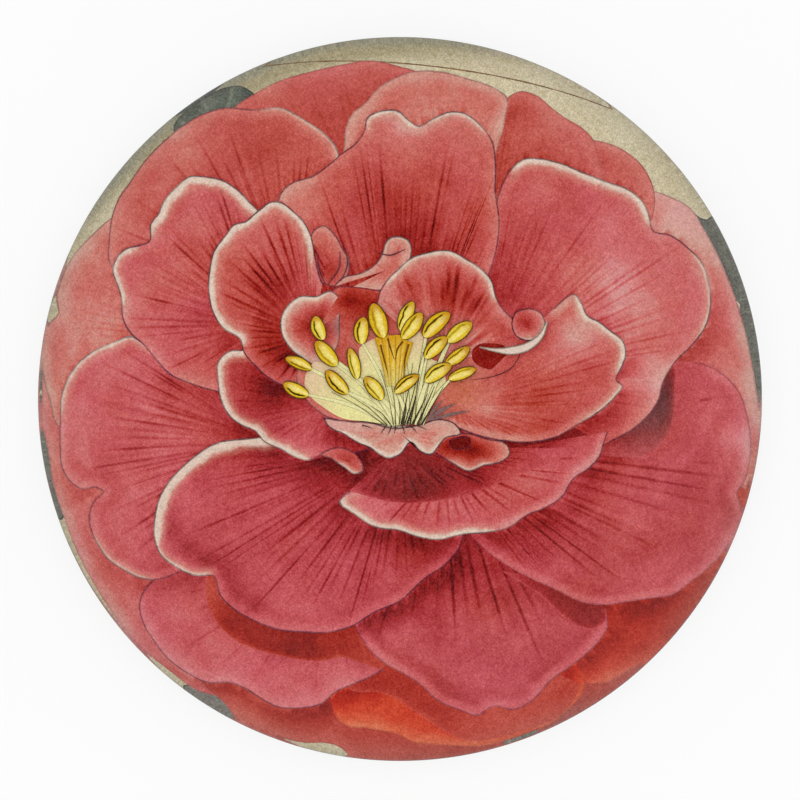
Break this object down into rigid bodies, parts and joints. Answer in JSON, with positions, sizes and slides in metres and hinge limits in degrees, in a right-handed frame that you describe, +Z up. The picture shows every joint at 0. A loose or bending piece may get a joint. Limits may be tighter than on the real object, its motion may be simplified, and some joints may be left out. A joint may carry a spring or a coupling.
{
  "type": "glass dome paperweight",
  "caption": "Round domed glass paperweight over a printed paper disc of a pink camellia, standing on a felt pad.",
  "frame": {"origin": "middle of the felt pad's underside", "axes": "+Z up through the middle of the dome, +Y towards the top of the print, +X towards its right"},
  "size_m": [0.089, 0.089, 0.038],
  "materials": {
    "clear_glass": "polished clear solid glass",
    "printed_paper": "matte printed paper, coral petals on cream",
    "felt": "dark green pressed felt"
  },
  "bodies": {
    "root": {"glass_dome": "clear_glass", "printed_paper": "printed_paper", "felt_pad": "felt"}
  },
  "joints": []
}
